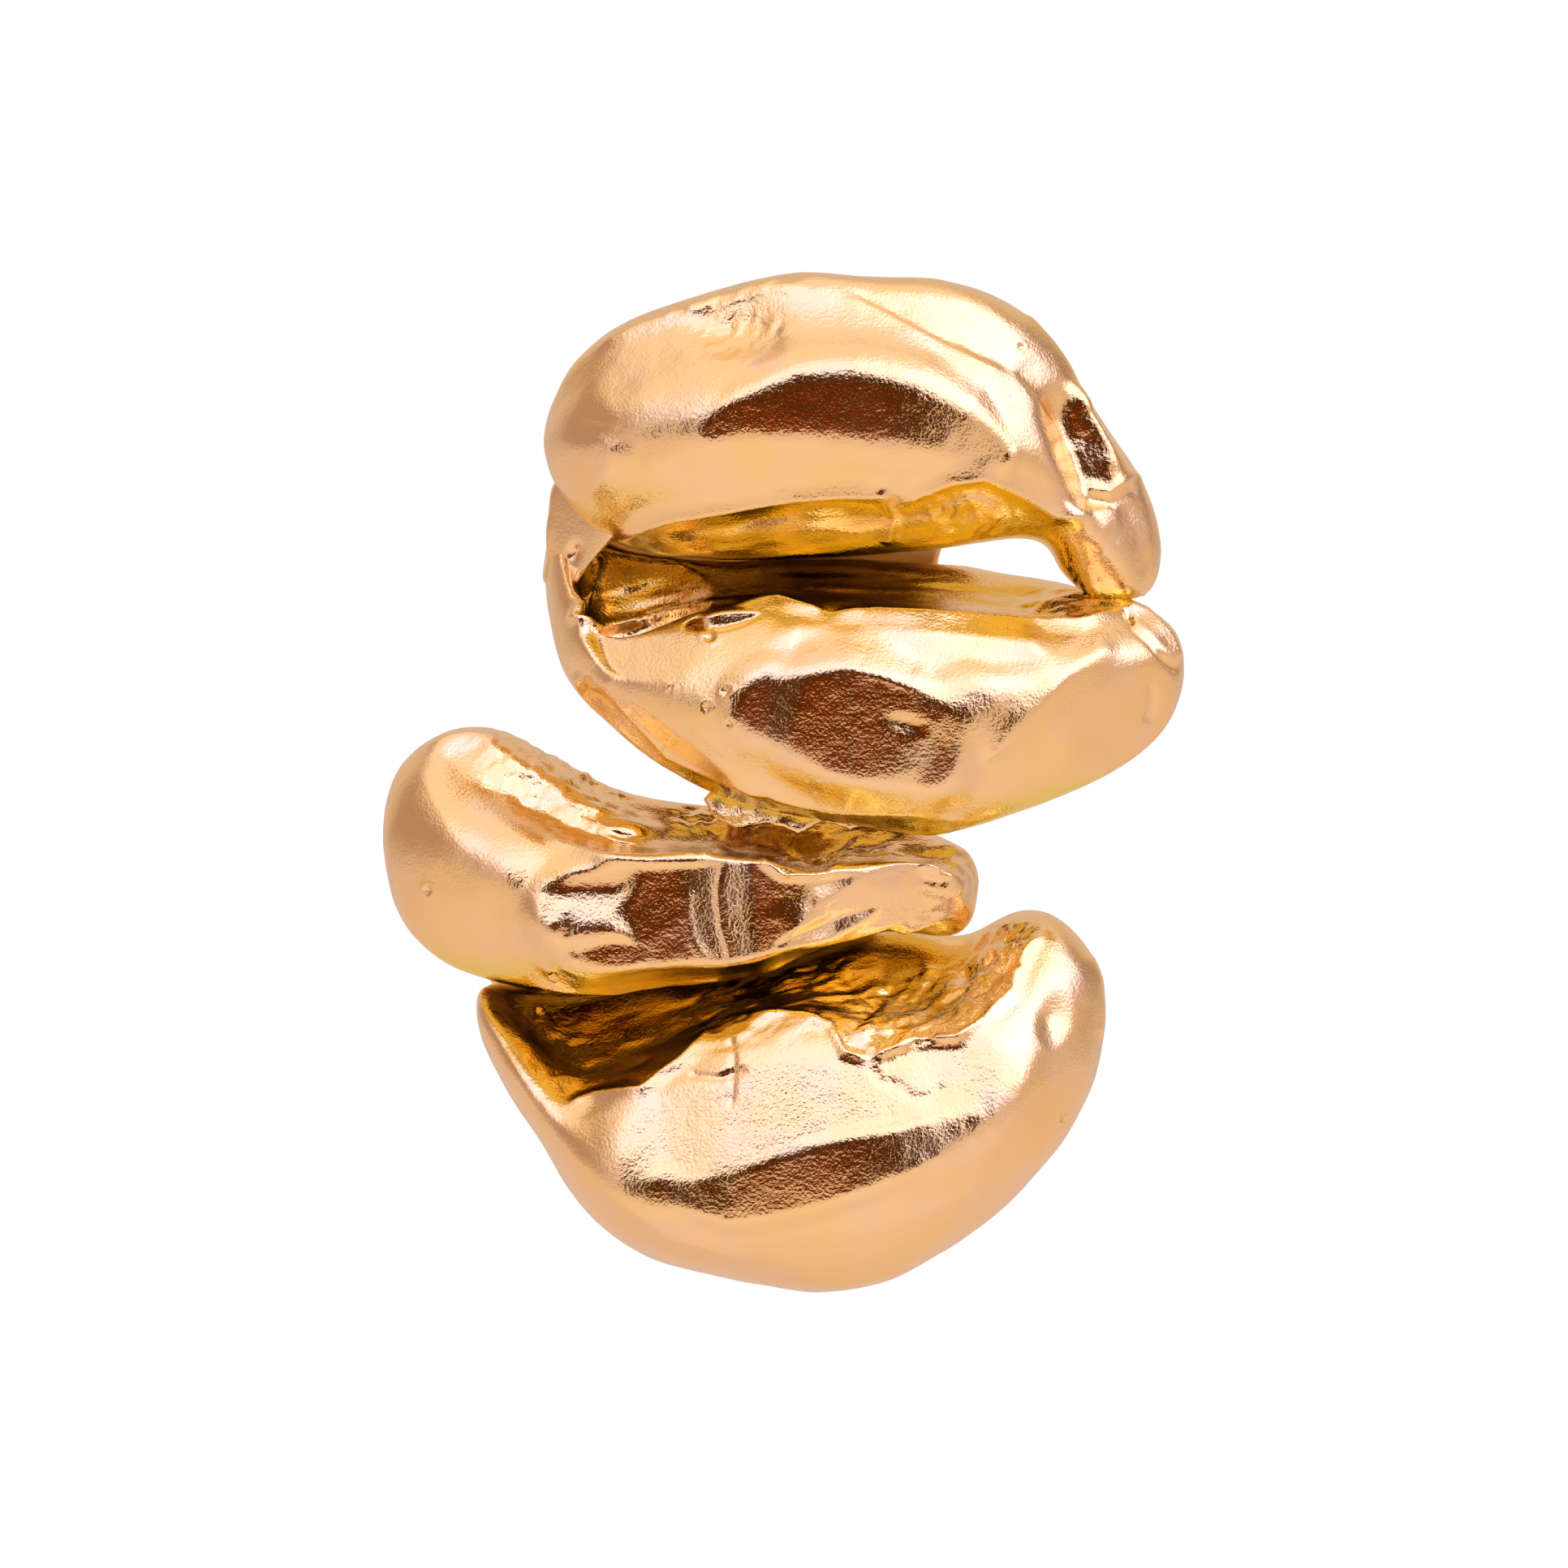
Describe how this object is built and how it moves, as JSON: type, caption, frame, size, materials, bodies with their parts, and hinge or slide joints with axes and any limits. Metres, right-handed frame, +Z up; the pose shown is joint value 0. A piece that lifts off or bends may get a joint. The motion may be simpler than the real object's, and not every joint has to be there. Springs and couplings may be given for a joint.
{
  "type": "sculptural drop earring",
  "caption": "Sculptural gold drop earring: puffy pinched lobes in an upper and a hanging lower pair, with an ear post, butterfly clutch and comfort disc.",
  "frame": {"origin": "where the ear post leaves its pad, on the post's axis, in the plane that rests on the ear", "axes": "+Z up as worn, +X to the right seen from the front, +Y along the post towards its tip, so the front faces -Y"},
  "size_m": [0.0495, 0.0292, 0.0631],
  "materials": {
    "polished_gold": "mirror-polished gold plate on cast brass, with fine casting texture",
    "plate_gold": "satin gold plate on flat brass sheet",
    "hinge_gold": "tumbled gold plate on brass",
    "post_gold": "bright gold plate",
    "silicone": "translucent soft silicone"
  },
  "bodies": {
    "upper_drop": {"top_lobe_shell": "polished_gold", "second_lobe_shell": "polished_gold", "upper_back_plate": "plate_gold", "ear_post": "post_gold", "hinge_lug_left": "hinge_gold", "hinge_lug_right": "hinge_gold", "hinge_pin": "hinge_gold"},
    "lower_drop": {"third_lobe_shell": "polished_gold", "fourth_lobe_shell": "polished_gold", "lower_back_plate": "plate_gold", "hinge_knuckle": "hinge_gold"},
    "clutch_slider": {"clutch_disc": "silicone"},
    "clutch_spinner": {"clutch_scroll": "post_gold"}
  },
  "joints": [
    {"name": "drop_swing", "type": "hinge", "parent": "upper_drop", "child": "lower_drop", "pos_m": [-0.0024, -0.0073, -0.0246], "axis": [1, 0, 0], "range_deg": [-10, 25]},
    {"name": "clutch_slide", "type": "slide", "parent": "upper_drop", "child": "clutch_slider", "axis": [0, 1, 0], "range_m": [-0.003, 0.012]},
    {"name": "clutch_spin", "type": "hinge", "parent": "clutch_slider", "child": "clutch_spinner", "pos_m": [0, 0.0063, 0], "axis": [0, 1, 0], "continuous": true}
  ]
}
